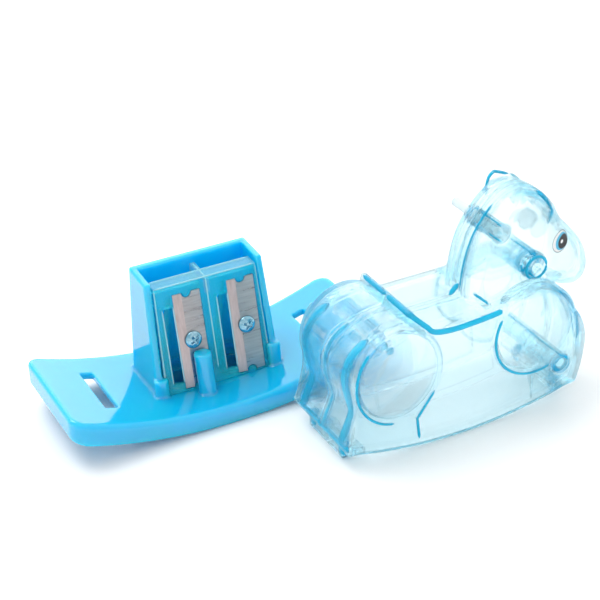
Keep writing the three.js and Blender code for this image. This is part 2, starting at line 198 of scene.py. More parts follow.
def cut(a, b):
    return np.maximum(a, -b)


def ramp(v, a, b):
    t = np.clip((v - a) / (b - a), 0, 1)
    return t * t * (3 - 2 * t)


def box_field(g, lo, hi, r=0.0):
    q = [np.maximum(lo[i] + r - p, p - hi[i] + r) for i, p in enumerate((g.X, g.Y, g.Z))]
    out = np.sqrt(sum(np.maximum(s, 0) ** 2 for s in q))
    return out + np.minimum(np.maximum(np.maximum(q[0], q[1]), q[2]), 0) - r


def polygon_field(points, U, V):
    """Signed distance to a closed outline, on two broadcastable coordinate arrays."""
    U, V = np.broadcast_arrays(U, V)
    shape = U.shape
    u, v = U.ravel(), V.ravel()
    best = np.full(u.shape, 1e9)
    inside = np.zeros(u.shape, bool)
    pts = np.asarray(points, float)
    for a, b in zip(pts, np.roll(pts, -1, axis=0)):
        e = b - a
        if not e.any():
            continue
        t = np.clip(((u - a[0]) * e[0] + (v - a[1]) * e[1]) / (e @ e), 0, 1)
        best = np.minimum(best, (u - a[0] - t * e[0]) ** 2 + (v - a[1] - t * e[1]) ** 2)
        if a[1] != b[1]:
            straddle = (a[1] > v) != (b[1] > v)
            inside ^= straddle & (u < e[0] * (v - a[1]) / e[1] + a[0])
    d = np.sqrt(best)
    return np.where(inside, -d, d).reshape(shape)


def tube_y(g, x, z, r, y0, y1, edge=0.25):
    return rounded(np.hypot(g.X - x, g.Z - z) - r, np.abs(g.Y - (y0 + y1) / 2) - (y1 - y0) / 2, edge)


class Outline:
    """A flat outline drawn with lines and curves."""

    def __init__(self, u, v):
        self.p = [np.array((u, v), float)]

    def line(self, u, v):
        self.p.append(np.array((u, v), float))
        return self

    def curve(self, *c, n=14):
        pts = [self.p[-1]] + [np.array(c[i:i + 2], float) for i in range(0, len(c), 2)]
        for t in np.linspace(0, 1, n + 1)[1:]:
            q = pts
            while len(q) > 1:
                q = [a + (b - a) * t for a, b in zip(q, q[1:])]
            self.p.append(q[0])
        return self


# ---- objects ------------------------------------------------------------------------
def make_object(name, verts, faces, body, node=None, slot=None, material=None, shift=(0, 0, 0), tris=()):
    """A smooth mesh of four-sided faces, and three-sided ones if given, in millimetres."""
    verts = (np.asarray(verts) + np.array(shift)) * MM
    mesh = bpy.data.meshes.new(name)
    mesh.vertices.add(len(verts))
    mesh.vertices.foreach_set("co", verts.astype(np.float32).ravel())
    faces, tris = np.asarray(faces), np.asarray(tris, int).reshape(-1, 3)
    corners = np.concatenate([faces.ravel(), tris.ravel()])
    starts = np.concatenate([np.arange(len(faces)) * 4, faces.size + np.arange(len(tris)) * 3])
    mesh.loops.add(len(corners))
    mesh.loops.foreach_set("vertex_index", corners.astype(np.int32))
    mesh.polygons.add(len(starts))
    mesh.polygons.foreach_set("loop_start", starts.astype(np.int32))
    mesh.polygons.foreach_set("use_smooth", np.full(len(starts), True))
    mesh.update(calc_edges=True)
    mesh.validate()
    obj = bpy.data.objects.new(name, mesh)
    bpy.context.scene.collection.objects.link(obj)
    if material:
        mesh.materials.append(material)
    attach(obj, body)
    if node:
        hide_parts(node)
    return obj


# ---- materials --------------------------------------------------------------------------
def new_material(name):
    m = bpy.data.materials.new(name)
    m.use_nodes = True
    nt = m.node_tree
    return m, nt, nt.nodes["Principled BSDF"], nt.nodes["Material Output"]


def add(nt, kind, **values):
    n = nt.nodes.new(kind)
    for key, value in values.items():
        if key in n.inputs.keys():
            n.inputs[key].default_value = value
        else:
            setattr(n, key, value)
    return n


def bumped(nt, shader, height, strength, distance):
    b = add(nt, "ShaderNodeBump")
    b.inputs["Strength"].default_value = strength
    b.inputs["Distance"].default_value = distance
    nt.links.new(height, b.inputs["Height"])
    nt.links.new(b.outputs["Normal"], shader.inputs["Normal"])


def place(nt, scale=(1, 1, 1)):
    coord = add(nt, "ShaderNodeTexCoord")
    mapping = add(nt, "ShaderNodeMapping")
    mapping.inputs["Scale"].default_value = scale
    nt.links.new(coord.outputs["Object"], mapping.inputs["Vector"])
    return mapping.outputs["Vector"]


def noise(nt, vector, scale, detail=3.0, rough=0.5):
    n = add(nt, "ShaderNodeTexNoise")
    n.inputs["Scale"].default_value = scale
    n.inputs["Detail"].default_value = detail
    n.inputs["Roughness"].default_value = rough
    nt.links.new(vector, n.inputs["Vector"])
    return n.outputs["Fac"]


def spread(nt, value, low, high):
    r = add(nt, "ShaderNodeMapRange")
    r.inputs["From Min"].default_value = 0.3
    r.inputs["From Max"].default_value = 0.7
    r.inputs["To Min"].default_value = low
    r.inputs["To Max"].default_value = high
    nt.links.new(value, r.inputs["Value"])
    return r.outputs["Result"]


def tinted(nt, value, low, high):
    r = add(nt, "ShaderNodeValToRGB")
    r.color_ramp.elements[0].color = (*low, 1)
    r.color_ramp.elements[1].color = (*high, 1)
    r.color_ramp.elements[0].position = 0.3
    r.color_ramp.elements[1].position = 0.7
    nt.links.new(value, r.inputs["Fac"])
    return r.outputs["Color"]


def clear_plastic(name, tint, density, rough_low, rough_high, wave, ior=1.3, body=0.6):
    """Clear moulded plastic: the tint builds up with the thickness looked through."""
    m, nt, shader, out = new_material(name)
    v = place(nt)
    shader.inputs["Base Color"].default_value = (1, 1, 1, 1)
    shader.inputs["Transmission Weight"].default_value = 1.0
    shader.inputs["IOR"].default_value = ior
    shader.inputs["Alpha"].default_value = body
    nt.links.new(spread(nt, noise(nt, v, 60, 4, 0.6), rough_low, rough_high), shader.inputs["Roughness"])
    bumped(nt, shader, noise(nt, v, 110, 2, 0.4), wave, 0.0004)
    absorb = add(nt, "ShaderNodeVolumeAbsorption")
    absorb.inputs["Color"].default_value = (*tint, 1)
    absorb.inputs["Density"].default_value = density
    nt.links.new(absorb.outputs["Volume"], out.inputs["Volume"])
    return m


def milky_plastic(name, low, high):
    """Glossy coloured plastic that lets some light through its thin walls."""
    m, nt, shader, out = new_material(name)
    v = place(nt)
    nt.links.new(tinted(nt, noise(nt, v, 45, 4, 0.6), low, high), shader.inputs["Base Color"])
    nt.links.new(spread(nt, noise(nt, v, 60, 5, 0.6), 0.05, 0.12), shader.inputs["Roughness"])
    shader.inputs["IOR"].default_value = 1.5
    shader.inputs["Specular IOR Level"].default_value = 0.6
    shader.inputs["Coat Weight"].default_value = 0.4
    shader.inputs["Coat Roughness"].default_value = 0.04
    shader.inputs["Subsurface Weight"].default_value = 1.0
    shader.inputs["Subsurface Radius"].default_value = (0.1, 1.2, 1.8)
    shader.inputs["Subsurface Scale"].default_value = 0.004
    bumped(nt, shader, noise(nt, v, 90, 2, 0.4), 0.05, 0.0003)
    return m


def edge_plastic(name, low, high, clear=0.35, body=0.92):
    """Cloudy plastic: rims and ribs where the clear plastic gathers its colour."""
    m, nt, shader, out = new_material(name)
    v = place(nt)
    nt.links.new(tinted(nt, noise(nt, v, 160, 4, 0.6), low, high), shader.inputs["Base Color"])
    nt.links.new(spread(nt, noise(nt, v, 120, 3, 0.5), 0.06, 0.16), shader.inputs["Roughness"])
    shader.inputs["IOR"].default_value = 1.4
    shader.inputs["Transmission Weight"].default_value = clear
    shader.inputs["Alpha"].default_value = body
    return m


def steel(name, low, high, grain, rough=(0.24, 0.4), strength=0.25):
    m, nt, shader, out = new_material(name)
    lines = noise(nt, place(nt, grain), 100, 4, 0.65)
    nt.links.new(tinted(nt, lines, low, high), shader.inputs["Base Color"])
    nt.links.new(spread(nt, lines, *rough), shader.inputs["Roughness"])
    shader.inputs["Metallic"].default_value = 1.0
    bumped(nt, shader, lines, strength, 0.00005)
    return m


def printed(name, color):
    m, nt, shader, out = new_material(name)
    v = place(nt)
    low = tuple(c * 0.92 for c in color)
    nt.links.new(tinted(nt, noise(nt, v, 900, 2), low, color), shader.inputs["Base Color"])
    nt.links.new(spread(nt, noise(nt, v, 500, 2), 0.3, 0.42), shader.inputs["Roughness"])
    return m


BASE_BLUE = milky_plastic("base_blue", (0.002, 0.445, 0.760), (0.006, 0.475, 0.790))
SHELL_CLEAR = clear_plastic("shell_clear", (0.0, 0.80, 0.975), 76, 0.008, 0.03, 0.07, 1.33, 0.60)
INSERT_CLEAR = edge_plastic("insert_clear", (0.010, 0.800, 0.940), (0.040, 0.860, 0.970), 0.5, 0.6)
# Painted highlight: a paler copy of the clear insert plastic, for the rims that face the light.
INSERT_PAINTED_HIGHLIGHT = edge_plastic("insert_painted_highlight", (0.300, 0.880, 0.970), (0.400, 0.920, 0.990), 0.6, 0.6)
# Painted highlight: pale beads for the bright glints along the insert's edges.
INSERT_HIGHLIGHT_LINE = edge_plastic("insert_highlight_line", (0.500, 0.880, 0.950), (0.600, 0.920, 0.970), 0.3, 0.8)
EDGE_BLUE = edge_plastic("edge_blue", (0.000, 0.520, 0.830), (0.004, 0.630, 0.920))
EDGE_CLEAR = edge_plastic("edge_clear", (0.000, 0.620, 0.920), (0.010, 0.700, 0.980), 0.35, 0.85)
EDGE_SOFT = edge_plastic("edge_soft", (0.000, 0.600, 0.920), (0.005, 0.680, 0.980), 0.45, 0.6)
EDGE_PALE = edge_plastic("edge_pale", (0.260, 0.700, 0.860), (0.360, 0.780, 0.900), 0.5, 0.7)
ROD_MILKY = edge_plastic("rod_milky", (0.760, 0.900, 0.930), (0.820, 0.930, 0.950), 0.4, 0.85)
BLADE = steel("blade_steel", (0.33, 0.31, 0.32), (0.50, 0.47, 0.47), (1, 12, 12))
EDGE = steel("edge_steel", (0.40, 0.34, 0.34), (0.56, 0.48, 0.48), (14, 2, 2), (0.3, 0.45), 0.4)
# Steel of the blade screws; the blue in its colour is a painted reflection of the blue plastic around them.
SCREW_BLUE_REFLECTION = steel("screw_steel", (0.10, 0.34, 0.48), (0.48, 0.70, 0.80), (9, 9, 9), (0.12, 0.25), 0.1)


# ---- rocker base --------------------------------------------------------------------------
def front_y(z):
    return FRONT_FOOT + (z - 5) * math.tan(LEAN)


def narrowed(g):
    """X stretched back to the housing's foot width: the housing narrows upwards."""
    return g.X / (1 - (1 - HOUSE_TOP_HALF / HOUSE_FOOT_HALF) * np.clip((g.Z - 4) / 30.1, 0, 1))


def wedge(g, grow):
    """The insert's outer form, grown on all sides."""
    low, high = INSERT_FOOT - grow, INSERT_TOP + grow
    side = Outline(front_y(INSERT_FOOT) - grow, low).line(7.4 + grow, low).line(7.2 + grow, high)
    side = side.line(front_y(INSERT_TOP) - grow, high).p
    return rounded(polygon_field(side, g.Y, g.Z), np.abs(narrowed(g)) - INSERT_HALF - grow, 0.2)


def base_field(g):
    rho = np.hypot(g.X, g.Z - PLATE_CENTRE_Z)
    qx = np.abs(g.X) - ROCKER_HALF_X + ROCKER_CORNER
    qy = np.abs(g.Y) - ROCKER_HALF_Y + ROCKER_CORNER
    plan = np.hypot(np.maximum(qx, 0), np.maximum(qy, 0)) + np.minimum(np.maximum(qx, qy), 0) - ROCKER_CORNER
    top, bottom = PLATE_TOP_R - rho, np.hypot(g.X, g.Z - FOOT_CENTRE_Z) - FOOT_R
    rocker = rounded(rounded(plan, top, 1.3), bottom, 0.5)
    hollow = np.maximum(np.maximum(plan + RIM, PLATE_UNDER_R - rho), HOLLOW_FROM_X - np.abs(g.X))
    rocker = cut(rocker, hollow)
    # The housing: a leaning box, open at the front and at the top.
    x = narrowed(g)
    side = Outline(HOUSE_BACK, 2).line(HOUSE_BACK - 0.2, HOUSE_TOP).line(front_y(33.5), 33.5)
    side = side.line(front_y(3), 3).line(front_y(3), 2).p
    house = rounded(polygon_field(side, g.Y, g.Z), np.abs(x) - HOUSE_FOOT_HALF, 0.7)
    inside = np.maximum(np.abs(x) - HOUSE_FOOT_HALF + HOUSE_WALL, g.Y - HOUSE_BACK + HOUSE_WALL + 0.006 * g.Z)
    house = cut(house, np.maximum(inside, 5.0 - g.Z))
    body = blend(rocker, house, 0.8)
    # Retaining posts along the open front.
    y_mid = FRONT_FOOT - 1.9 + (g.Z - 5) * math.tan(LEAN)
    post = np.hypot(g.X + 4.2, (g.Y - y_mid) * math.cos(LEAN)) - 2.15
    post = rounded(post, np.maximum(g.Z - 15.1, 3 - g.Z), 0.5)
    y_in = FRONT_FOOT + 0.2 + (g.Z - 5) * math.tan(LEAN) * 0.6
    left = rounded(np.hypot(np.maximum(np.abs(g.X + 15.1) - 0.4, 0), g.Y - y_in) - 1.4,
                   np.maximum(g.Z - 10.4, 3 - g.Z), 0.4)
    right = rounded(np.hypot(np.maximum(np.abs(g.X - 15.0) - 0.5, 0), g.Y - y_in) - 1.35,
                    np.maximum(g.Z - 11.6, 3 - g.Z), 0.4)
    body = blend(body, np.minimum(post, np.minimum(left, right)), 0.5)
    body = cut(body, wedge(g, 0.12))
    for s in (-1, 1):
        lo = (s * SLOT_X - SLOT_HALF[0], -SLOT_HALF[1], -3)
        hi = (s * SLOT_X + SLOT_HALF[0], SLOT_HALF[1], 30)
        body = cut(body, box_field(g, lo, hi, 0.3))
    for hx in HOLE_X:
        body = cut(body, np.maximum(np.hypot(g.X - hx, g.Y - HOLE_Y) - HOLE_R - 0.2, g.Z - 6.5))
    return body


def build_base():
    g = Grid((-42.6, -18.2, -1.2), (42.6, 18.2, 35.4), 0.34)
    v, f = g.surface(base_field(g))
    return make_object("base_moulding", v, f, "base", "rocker_base", "base_plastic", BASE_BLUE)


# ---- cutter insert ----------------------------------------------------------------------------
def blade_axes(g, i):
    """Coordinates on blade i: across, up the lean, and out in front of it."""
    y0 = front_y(BLADE_Z)
    across = g.X - BLADE_X[i]
    along = (g.Y - y0) * math.sin(LEAN) + (g.Z - BLADE_Z) * math.cos(LEAN)
    out = -(g.Y - y0) * math.cos(LEAN) + (g.Z - BLADE_Z) * math.sin(LEAN)
    return across, along, out


def insert_field(g):
    slab = (g.Y - front_y(0) - g.Z * math.tan(LEAN)) * math.cos(LEAN)   # depth behind the front
    x = narrowed(g)
    parts = g.Z - 8.0
    parts = np.minimum(parts, np.maximum(INSERT_TOP - 2.4 - g.Z, g.Y - 3.4))
    parts = np.minimum(parts, np.abs(g.X - RIB_X) - 0.7)
    parts = np.minimum(parts, np.maximum(13.0 - np.abs(x), g.Y - 2.0))
    parts = np.minimum(parts, slab - 2.6)
    for i in (0, 1):
        r = np.hypot(g.X - HOLE_X[i], g.Y - HOLE_Y)
        cone = (r - (HOLE_R + 1.5 - (g.Z - INSERT_FOOT) * 0.174)) * 0.985
        parts = blend(parts, np.maximum(cone, g.Z - 29), 0.4)
        seat_lo, seat_hi = (BLADE_X[i] - 2.2, -8, BLADE_Z - 2.6), (BLADE_X[i] + 2.2, 2, BLADE_Z + 3.4)
        parts = np.minimum(parts, box_field(g, seat_lo, seat_hi, 0.3))
    body = np.maximum(parts, wedge(g, 0.0))
    for i in (0, 1):
        r = np.hypot(g.X - HOLE_X[i], g.Y - HOLE_Y)
        bore = (r - np.clip(HOLE_R - (g.Z - 7.4) * math.tan(LEAN), 0.4, HOLE_R)) * 0.98
        bore = np.maximum(bore, g.Z - 25.8)
        body = cut(body, bore)
        across, along, out = blade_axes(g, i)
        q = [np.abs(across) - BLADE_HALF - 0.15, np.abs(along) - BLADE_END - 0.2, np.abs(out) - 0.75]
        body = cut(body, np.maximum(np.maximum(q[0], q[1]), q[2]))
        q = [np.abs(across + 4.8) - 1.8, np.abs(along + 0.6) - 9.7, np.abs(out) - 3.0]
        body = cut(body, rounded(np.maximum(q[0], q[2]), q[1], 0.5))
        body = cut(body, np.maximum(np.hypot(across, along) - 1.15, -out - 5.6))
        # Pegs that fit the notches at both ends of the blade.
        peg = np.hypot(across, np.abs(along) - BLADE_END) - 1.02
        body = np.minimum(body, rounded(peg, np.maximum(out - 0.1, -1.2 - out), 0.15))
    return body


def build_insert():
    g = Grid((-15.4, -7.6, 4.2), (15.4, 8.4, 33.8), 0.2)
    v, f = g.surface(insert_field(g))
    obj = make_object("insert_moulding", v, f, "base", "sharpener_insert", "insert_plastic", INSERT_CLEAR)
    # Painted highlight: the rims that face the light get a paler copy of the clear plastic than the open
    # cells behind them.
    obj.data.materials.append(INSERT_PAINTED_HIGHLIGHT)
    centre = v[f].mean(1)
    behind = centre[:, 1] - front_y(0) - centre[:, 2] * math.tan(LEAN)
    rim = (centre[:, 2] > INSERT_TOP - 0.3) | ((behind < 0.35) & (np.abs(centre[:, 0]) > 13.6))
    rim |= (np.abs(centre[:, 0] - RIB_X) < 0.8) & (centre[:, 2] > 28)
    obj.data.polygons.foreach_set("material_index", rim.astype(np.int32))
    return obj


# ---- blades and screws ------------------------------------------------------------------------
def on_blade(v, i):
    """Points measured across, along and out from blade i, in the part's own frame."""
    y0 = front_y(BLADE_Z)
    a, b, c = v.T
    return np.stack([BLADE_X[i] + a, y0 + b * math.sin(LEAN) - c * math.cos(LEAN),
                     BLADE_Z + b * math.cos(LEAN) + c * math.sin(LEAN)], 1)


def build_blade(i, name):
    g = Grid((-4.0, -12.5, -0.9), (4.0, 12.5, 0.3), 0.08)
    d = box_field(g, (-BLADE_HALF, -BLADE_END, -0.55), (BLADE_HALF, BLADE_END, -0.05), 0.06)
    for end in (-BLADE_END, BLADE_END):
        d = cut(d, np.hypot(g.X, g.Y - end) - 1.25)
    d = cut(d, np.hypot(g.X, g.Y) - 1.28)
    slope = 0.42 / 2.2
    d = np.maximum(d, (g.Z + 0.05 - slope * (g.X + BLADE_HALF - 2.2)) / math.hypot(1, slope))
    v, f = g.surface(d)
    obj = make_object(name, on_blade(v, i), f, "base", name.replace("_plate", ""), "blade_steel", BLADE)
    obj.data.materials.append(EDGE)
    centre = v[f].mean(1)
    ground = (centre[:, 0] < 2.14 - BLADE_HALF) & (centre[:, 2] > -0.5)
    obj.data.polygons.foreach_set("material_index", ground.astype(np.int32))
    obj.data.set_sharp_from_angle(angle=math.radians(38))
    return obj


def build_screw(i, name, turn):
    g = Grid((-2.5, -2.5, -3.4), (2.5, 2.5, 1.6), 0.07)
    r = np.hypot(g.X, g.Y)
    head = rounded(r - 2.2, np.maximum(0.0 - g.Z, np.hypot(r, g.Z + 1.75) - 3.1), 0.18)
    shank = rounded(r - 0.93, np.maximum(g.Z - 0.6, -3.2 - g.Z), 0.2)
    d = np.minimum(head, shank)
    c, s = math.cos(turn), math.sin(turn)
    a, b = g.X * c + g.Y * s, -g.X * s + g.Y * c
    depth = 0.25 - g.Z + r * 0.45
    for p, q in ((a, b), (b, a)):
        d = cut(d, np.maximum(np.maximum(np.abs(p) - 0.28, np.abs(q) - 1.15), depth))
    v, f = g.surface(d)
    return make_object(name, on_blade(v, i), f, "base", name.replace("_head", ""), "screw_steel", SCREW_BLUE_REFLECTION)


# ---- horse shell ----------------------------------------------------------------------------------
def skirt_z(x):
    return x * x / (2 * ROCKER_R)


def torso_outline():
    e = SHELL_END
    o = Outline(-e, skirt_z(e)).curve(-e - 1.6, 7, -e + 1.5, 10, -e + 2.2, 14)
    o.curve(-e + 1.4, 18, -e + 0.2, 20, -e + 0.3, 24).curve(-e + 0.9, 30, -e + 7, 32.8, -15.2, 33.4)
    o.line(-13.2, 33.0).curve(-11.8, 31, -9.6, 30.6).line(6, 30.6).line(24, 31)
    o.curve(29, 29.5, 33, 23.5, e + 2.4, 17).curve(e + 2.4, 11, e + 1, 8, e, skirt_z(e))
    for x in np.linspace(e, -e, 40)[1:-1]:
        o.line(x, skirt_z(x))
    return o.p


def neck_outline():
    o = Outline(5.2, 24).line(4.6, 31).curve(5.2, 40, 7, 46, 12, 51).curve(15, 54.4, 18, 55.4, 21.6, 54.6)
    o.curve(25.5, 52.5, 29, 49.6, 31.4, 45).curve(35, 41, 40, 37, 40.65, 31)
    o.curve(40.85, 26.9, 38.4, 24.9, 35.4, 25.2)
    return o.curve(32.4, 25.8, 30.4, 27.8).line(29, 22).p


def ear_outline():
    o = Outline(16.3, 50.6).curve(15.5, 56.1, 18.2, 56.7).curve(25.5, 54.5, 27.5, 48.4)
    return o.line(26.3, 45.5).line(20, 46).p


def front_leg_outline():
    e = SHELL_END
    o = Outline(18.8, skirt_z(18.8) + 1.6).line(e, skirt_z(e)).curve(e + 2.2, 10, e + 2.3, 17)
    return o.curve(e + 1.4, 22, e - 1, 25).line(19, 22.6).line(18, 12).p


def hind_leg_outline():
    e = SHELL_END
    o = Outline(-e, skirt_z(e)).line(-12.6, skirt_z(12.6) + 1.8).line(-13.4, 9).line(-8.6, 15.2)
    return o.line(-18, 21.6).line(-e + 2.4, 20).line(-e + 2.3, 14).p


def shell_field(g, side):
    """Solid plastic of one half; side -1 is the near, right half."""
    ay = np.abs(g.Y)
    torso2 = polygon_field(torso_outline(), g.X, g.Z)
    edge = 1.0 + 3.5 * ramp(-g.X, 13.5, 20) + 2.5 * ramp(g.X, 10, 24)
    edge = edge * ramp(g.Z, 6, 16) + 0.6 * (1 - ramp(g.Z, 6, 16))
    torso = rounded(torso2, ay - SHELL_HALF, edge)
    discs = None
    for cx, cz, across, tall in (THIGH, SHOULDER):
        rho = np.hypot(g.X - cx, (g.Z - cz) * across / tall)
        face = 14.95 - 1.5 * (rho / across) ** 2
        d = rounded(rho - across, np.maximum(ay - face, 8 - ay), 0.9)
        discs = d if discs is None else np.minimum(discs, d)
    neck2 = polygon_field(neck_outline(), g.X, g.Z)
    half = 7.2 - 1.7 * ramp(g.X, 25, 39)
    neck = rounded(neck2, ay - half, 4.4)
    solid = blend(blend(torso, discs, 0.7), neck, 1.2)
    rib = 0.9 * (1 - ramp(ay, 1.1, 1.9))
    cavity = solid + WALL + rib
    reach = SHELL_HALF - WALL
    cavity = np.minimum(cavity, np.maximum(np.maximum(np.abs(g.X) - 26.4, ay - reach), g.Z - 10))
    # Raised shapes on the outside.
    for outline in (front_leg_outline(), hind_leg_outline()):
        leg = rounded(polygon_field(outline, g.X, g.Z), np.maximum(ay - LEG_FACE, 11 - ay), 0.5)
        solid = blend(solid, leg, 0.4)
    foot = np.maximum(torso2, g.Z - skirt_z(g.X) - 1.8)
    solid = np.minimum(solid, rounded(foot, np.maximum(ay - 12.95, 11.5 - ay), 0.2))
    crest = rounded(neck2 - 0.75, ay - 1.5, 0.35)
    crest = np.maximum(np.maximum(crest, 33.4 + (g.X - 4) * 0.38 - g.Z), g.X - 31.6)
    solid = blend(solid, crest, 0.3)
    ear = rounded(polygon_field(ear_outline(), g.X, g.Z), np.abs(ay - EAR_Y) - 0.95, 0.7)
    dish = rounded(polygon_field(ear_outline(), g.X, g.Z) + 1.0, 5.7 - ay, 0.2)
    solid = blend(solid, cut(ear, dish), 0.8)
    wall = Outline(-15.3, 32.4).line(-14.4, 35.8).line(-13.1, 35.8)
    wall = wall.curve(-10.9, 31.6, -8.6, 30.2).line(-12, 30).p
    wall = rounded(polygon_field(wall, g.X, g.Z), ay - 10.9, 0.35)
    solid = np.minimum(solid, wall)
    step = box_field_abs(g, (6.6, 3.6, 30), (8.2, 10.2, 31.7), 0.3)
    solid = np.minimum(solid, step)
    body = cut(solid, cavity)
    for s in (-1, 1):
        z = skirt_z(SLOT_X)
        lo = (s * SLOT_X - TAB_HALF[0], -TAB_HALF[1], z - 3.55)
        hi = (s * SLOT_X + TAB_HALF[0], TAB_HALF[1], z + 1.4)
        body = np.minimum(body, box_field(g, lo, hi, 0.25))
    # Bosses, pins and the handle's sleeve.
    body = np.minimum(body, tube_y(g, *FRONT_PIN, 2.5, -11.8, 11.8))
    if side < 0:
        body = cut(body, tube_y(g, *FRONT_PIN, 1.5, -9.6, 3, 0.1))
    body = np.minimum(body, tube_y(g, *HEAD_BOSS, 3.2, -8.05, 6.4))
    body = cut(body, tube_y(g, *HEAD_BOSS, 1.2, -20, 5.8, 0.1))
    body = np.minimum(body, tube_y(g, *ROD, 2.3, -6.2, 6.2))
    body = cut(body, tube_y(g, *ROD, 1.3, -4.6, 20, 0.1))
    body = np.maximum(body, 0.06 - side * g.Y)
    if side > 0:
        body = np.minimum(body, tube_y(g, *FRONT_PIN, 1.2, -6, 1))
        body = np.minimum(body, tube_y(g, *REAR_PIN, 2.1, -4, 13.9))
        body = np.minimum(body, tube_y(g, *REAR_PIN, 1.0, -9.5, -3.9))
    return body


def box_field_abs(g, lo, hi, r):
    ay = np.abs(g.Y)
    q = [np.maximum(lo[i] + r - p, p - hi[i] + r) for i, p in enumerate((g.X, ay, g.Z))]
    out = np.sqrt(sum(np.maximum(s, 0) ** 2 for s in q))
    return out + np.minimum(np.maximum(np.maximum(q[0], q[1]), q[2]), 0) - r


def build_shell(side, name, node):
    y = (-16.0, 1.6) if side < 0 else (-6.8, 16.0)
    g = Grid((-34, y[0], -0.8), (42, y[1], 58.4), 0.36)
    v, f = g.surface(shell_field(g, side))
    return make_object(name, v, f, "shell", node, "shell_plastic", SHELL_CLEAR, shift=SHELL_AT)


SHELL = ("shell", "shell_plastic", SHELL_AT)
INSERT = ("base", "insert_plastic", (0, 0, 0))


def bead(name, points, radius, material, home=SHELL, sides=10):
    """A rounded bead of plastic that follows a line of points on a moulding."""
    body, slot, shift = home
    p = np.array(points, float)
    along = np.gradient(p, axis=0)
    along /= np.linalg.norm(along, axis=1)[:, None]
    first = np.cross(along, (0.31, 0.17, 0.93))
    first /= np.linalg.norm(first, axis=1)[:, None]
    second = np.cross(along, first)
    count = len(p)
    reach = np.concatenate([[0], np.cumsum(np.linalg.norm(np.diff(p, axis=0), axis=1))])
    left = np.clip(np.minimum(reach, reach[-1] - reach) / radius, 0.05, 1)
    taper = np.sqrt(left * (2 - left)) * radius
    verts = []
    for k in range(sides):
        a = 2 * math.pi * k / sides
        verts.append(p + (first * math.cos(a) + second * math.sin(a)) * taper[:, None])
    verts = np.stack(verts, 1).reshape(-1, 3)
    verts = np.concatenate([verts, p[[0, -1]]])
    faces = []
    for i in range(count - 1):
        for k in range(sides):
            n = (k + 1) % sides
            faces.append((i * sides + k, i * sides + n, (i + 1) * sides + n, (i + 1) * sides + k))
    ends = []
    for k in range(sides):
        n = (k + 1) % sides
        ends.append((len(verts) - 2, n, k))
        ends.append((len(verts) - 1, (count - 1) * sides + k, (count - 1) * sides + n))
    return make_object(name, verts, faces, body, None, slot, material, shift=shift, tris=ends)


def straight(*corners, step=0.8):
    """Evenly spaced points along straight stretches between corners."""
    out = [np.array(corners[0], float)]
    for a, b in zip(corners, corners[1:]):
        a, b = np.array(a, float), np.array(b, float)
        n = max(2, int(np.linalg.norm(b - a) / step))
        out += [a + (b - a) * t for t in np.linspace(0, 1, n + 1)[1:]]
    return out


def disc_arc(disc, side, start, end):
    """Points just inside the rim of a disc, between two angles in degrees."""
    cx, cz, across, tall = disc
    inset = 0.15
    out = []
    for a in np.radians(np.linspace(start, end, 40)):
        out.append((cx + (across - inset) * math.cos(a), side * 13.25, cz + (tall - inset) * math.sin(a)))
    return out


def ring(x, y, z, r):
    """Points of a full circle about a line along Y."""
    turn = np.linspace(0, 2 * math.pi, 33)
    return [(x + r * math.cos(a), y, z + r * math.sin(a)) for a in turn]


def build_insert_lines():
    """Painted highlights: bright lines of pale plastic along the edges of the clear insert."""
    top = INSERT_TOP - 0.2
    lines = {
        "top_front": straight((-13.1, front_y(top) + 0.2, top), (13.1, front_y(top) + 0.2, top)),
        "side_left": straight((-13.9, front_y(7) + 0.2, 7), (-13.2, front_y(top) + 0.2, top)),
        "side_right": straight((13.9, front_y(7) + 0.2, 7), (13.2, front_y(top) + 0.2, top)),
        "top_back": straight((-13.0, 3.2, top), (13.0, 3.2, top)),
        "rib_top": straight((RIB_X, front_y(top) + 0.5, top), (RIB_X, 6.9, top)),
        "rib_front": straight((RIB_X, front_y(9) + 0.15, 9), (RIB_X, front_y(top) + 0.15, top)),
    }
    for i, tag in ((0, "left"), (1, "right")):
        for j, across in ((0, -6.65), (1, -3.75)):
            ends = on_blade(np.array([(across, -10.2, -0.15), (across, 9.1, -0.15)]), i)
            lines[f"window_{tag}_{j}"] = straight(*ends)
    for name, points in lines.items():
        bead(f"insert_{name}", points, 0.2, INSERT_HIGHLIGHT_LINE, INSERT)


def build_tube_lines(name, axis, radius, y0, y1):
    """Lines of colour along the top and the bottom of a tube's wall."""
    x, z = axis
    bead(f"{name}_line_top", straight((x, y0, z + radius), (x, y1, z + radius)), 0.26, EDGE_CLEAR)
    bead(f"{name}_line_bottom", straight((x, y0, z - radius), (x, y1, z - radius)), 0.26, EDGE_CLEAR)


